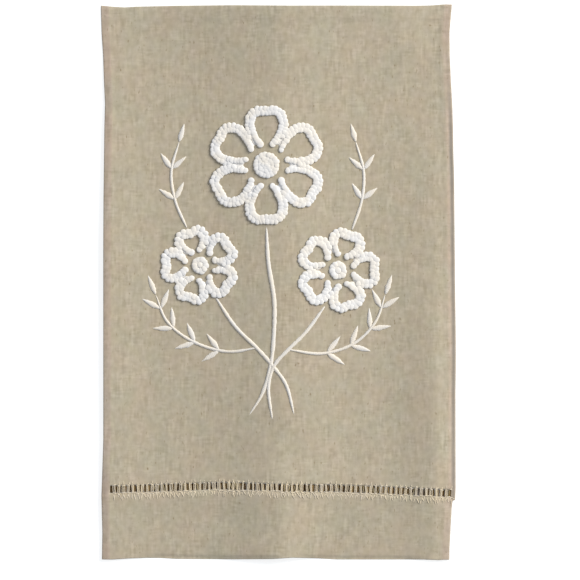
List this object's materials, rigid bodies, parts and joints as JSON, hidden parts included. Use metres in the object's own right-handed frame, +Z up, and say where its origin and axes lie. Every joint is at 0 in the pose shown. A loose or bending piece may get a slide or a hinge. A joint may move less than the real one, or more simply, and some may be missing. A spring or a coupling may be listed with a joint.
{
  "type": "linen hand towel",
  "caption": "Flat oblong linen hand towel with a hemstitched deep hem at one end and a raised white flower posy on its face.",
  "frame": {"origin": "middle of the towel's footprint, on the surface it lies on", "axes": "+Z up out of the towel's face, +Y along its length away from the hemstitched end, +X across its width to the right"},
  "size_m": [0.3584, 0.5608, 0.0103],
  "materials": {
    "linen_cloth": "unbleached plain-weave linen, matt and slubby",
    "white_thread": "white embroidery cotton, softly lustrous",
    "hemstitch_thread": "cream sewing thread, matt"
  },
  "bodies": {
    "root": {"towel_cloth": "linen_cloth"}
  },
  "joints": []
}
